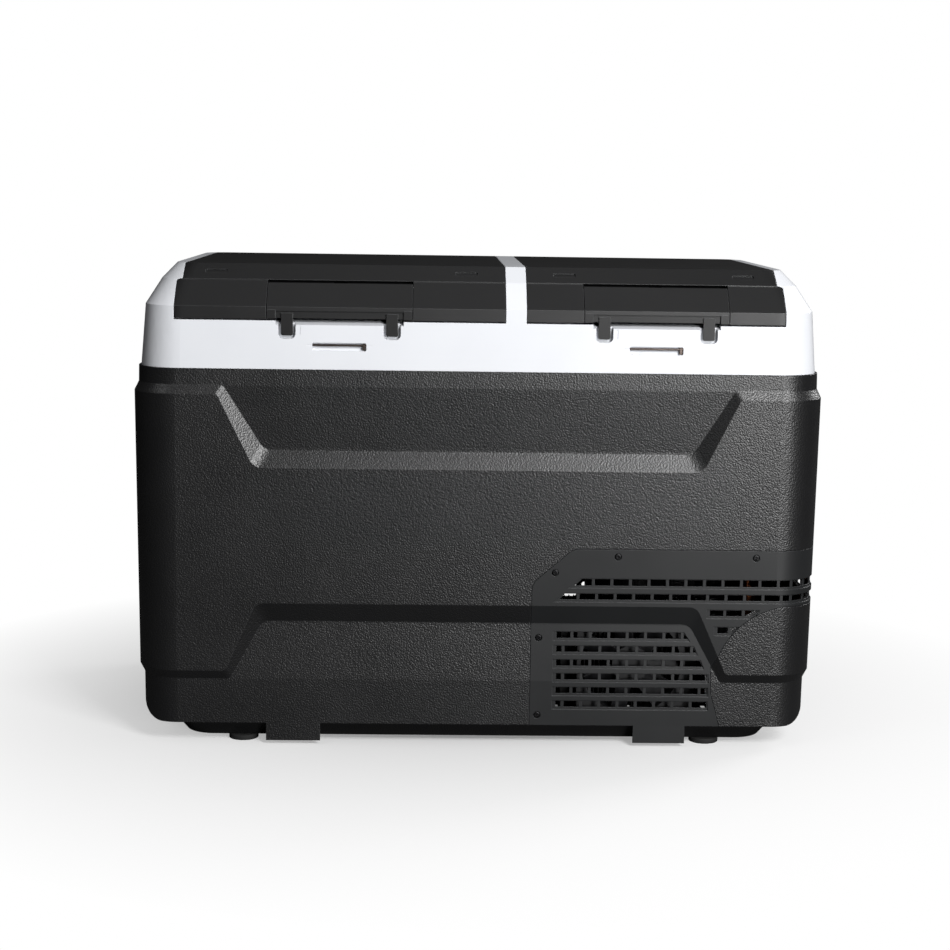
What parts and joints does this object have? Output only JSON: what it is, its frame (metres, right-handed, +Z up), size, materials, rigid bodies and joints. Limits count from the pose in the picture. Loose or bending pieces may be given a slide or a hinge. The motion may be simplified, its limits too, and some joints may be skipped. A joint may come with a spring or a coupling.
{
  "type": "compressor cooler fridge",
  "caption": "Dual-zone portable compressor fridge: ribbed black tub, white top frame, two hinged lids with pull latches, insulated bins and a vented compressor bay.",
  "frame": {"origin": "on the ground, under the middle of the body in plan", "axes": "+X to the right seen from the front, +Y to the back, +Z up; the latches and the vent grille face -Y"},
  "size_m": [0.69, 0.38, 0.482],
  "materials": {
    "tub_plastic": "matte",
    "grille_plastic": "satin",
    "frame_plastic": "satin",
    "lid_plastic": "matte",
    "liner_plastic": "satin",
    "foam": "matte",
    "rubber": "matte",
    "steel": "satin",
    "black_steel": "satin",
    "zinc_sheet": "satin",
    "aluminium": "satin",
    "copper": "satin",
    "fan_plastic": "satin",
    "probe_plastic": "matte",
    "bezel_plastic": "gloss",
    "display_glass": "gloss",
    "button_rubber": "matte",
    "socket_plastic": "satin"
  },
  "bodies": {
    "cabinet": {"base_tray": "tub_plastic", "bay_bulkhead": "zinc_sheet", "capillary_tube": "copper", "compressor": "black_steel", "compressor_bolts": "steel", "compressor_grommets": "rubber", "compressor_plate": "zinc_sheet", "condenser": "aluminium", "control_bezel": "bezel_plastic", "dc_inlet_socket": "socket_plastic", "discharge_tube": "copper", "display_window": "display_glass", "driver_module": "aluminium", "evaporator_coil_left": "aluminium", "evaporator_coil_right": "aluminium", "evaporator_plate_left": "aluminium", "evaporator_plate_right": "aluminium", "fan_frame": "fan_plastic", "fan_screws": "steel", "fan_shroud": "zinc_sheet", "filter_drier": "copper", "foot_screws": "steel", "grille_screws": "black_steel", "grip_cup_left": "tub_plastic", "grip_cup_right": "tub_plastic", "hinge_pins_left": "steel", "hinge_pins_right": "steel", "inner_liner_left": "liner_plastic", "inner_liner_right": "liner_plastic", "insulation_foam": "foam", "keeper_rod_left": "steel", "keeper_rod_right": "steel", "liquid_tube": "copper", "outer_body": "tub_plastic", "rubber_feet": "rubber", "suction_tube": "copper", "temperature_probes": "probe_plastic", "top_frame": "frame_plastic", "vent_grille": "grille_plastic"},
    "left_lid": {"lid_shell_left": "lid_plastic", "lid_liner_left": "liner_plastic", "lid_foam_left": "foam", "lid_gasket_left": "rubber", "latch_pin_left": "steel", "latch_spring_left": "steel"},
    "right_lid": {"lid_shell_right": "lid_plastic", "lid_liner_right": "liner_plastic", "lid_foam_right": "foam", "lid_gasket_right": "rubber", "latch_pin_right": "steel", "latch_spring_right": "steel"},
    "left_latch": {"latch_flap_left": "lid_plastic"},
    "right_latch": {"latch_flap_right": "lid_plastic"},
    "fan": {"fan_rotor": "fan_plastic"},
    "power_button": {"button_power": "button_rubber"},
    "set_button": {"button_set": "button_rubber"},
    "down_button": {"button_down": "button_rubber"},
    "up_button": {"button_up": "button_rubber"}
  },
  "joints": [
    {"name": "left_lid_hinge", "type": "hinge", "parent": "cabinet", "child": "left_lid", "pos_m": [0, 0.16, 0.456], "axis": [-1, 0, 0], "range_deg": [0, 95]},
    {"name": "left_latch_hinge", "type": "hinge", "parent": "left_lid", "child": "left_latch", "pos_m": [-0.13875, -0.1585, 0.4605], "axis": [-1, 0, 0], "range_deg": [0, 35], "stiffness_Nm_per_rad": 0.15, "springref_deg": -14.32},
    {"name": "right_lid_hinge", "type": "hinge", "parent": "cabinet", "child": "right_lid", "pos_m": [0.172, 0.16, 0.456], "axis": [-1, 0, 0], "range_deg": [0, 95]},
    {"name": "right_latch_hinge", "type": "hinge", "parent": "right_lid", "child": "right_latch", "pos_m": [0.17325, -0.1585, 0.4605], "axis": [-1, 0, 0], "range_deg": [0, 35], "stiffness_Nm_per_rad": 0.15, "springref_deg": -14.32},
    {"name": "fan_spin", "type": "hinge", "parent": "cabinet", "child": "fan", "pos_m": [0.158, -0.155, 0.082], "axis": [0, -1, 0], "continuous": true},
    {"name": "power_button_press", "type": "slide", "parent": "cabinet", "child": "power_button", "axis": [-0.9967, 0, -0.0817], "range_m": [0, 0.0007], "stiffness_N_per_m": 400, "springref_m": -0.001},
    {"name": "set_button_press", "type": "slide", "parent": "cabinet", "child": "set_button", "axis": [-0.9967, 0, -0.0817], "range_m": [0, 0.0007], "stiffness_N_per_m": 400, "springref_m": -0.001},
    {"name": "down_button_press", "type": "slide", "parent": "cabinet", "child": "down_button", "axis": [-0.9967, 0, -0.0817], "range_m": [0, 0.0007], "stiffness_N_per_m": 400, "springref_m": -0.001},
    {"name": "up_button_press", "type": "slide", "parent": "cabinet", "child": "up_button", "axis": [-0.9967, 0, -0.0817], "range_m": [0, 0.0007], "stiffness_N_per_m": 400, "springref_m": -0.001}
  ]
}
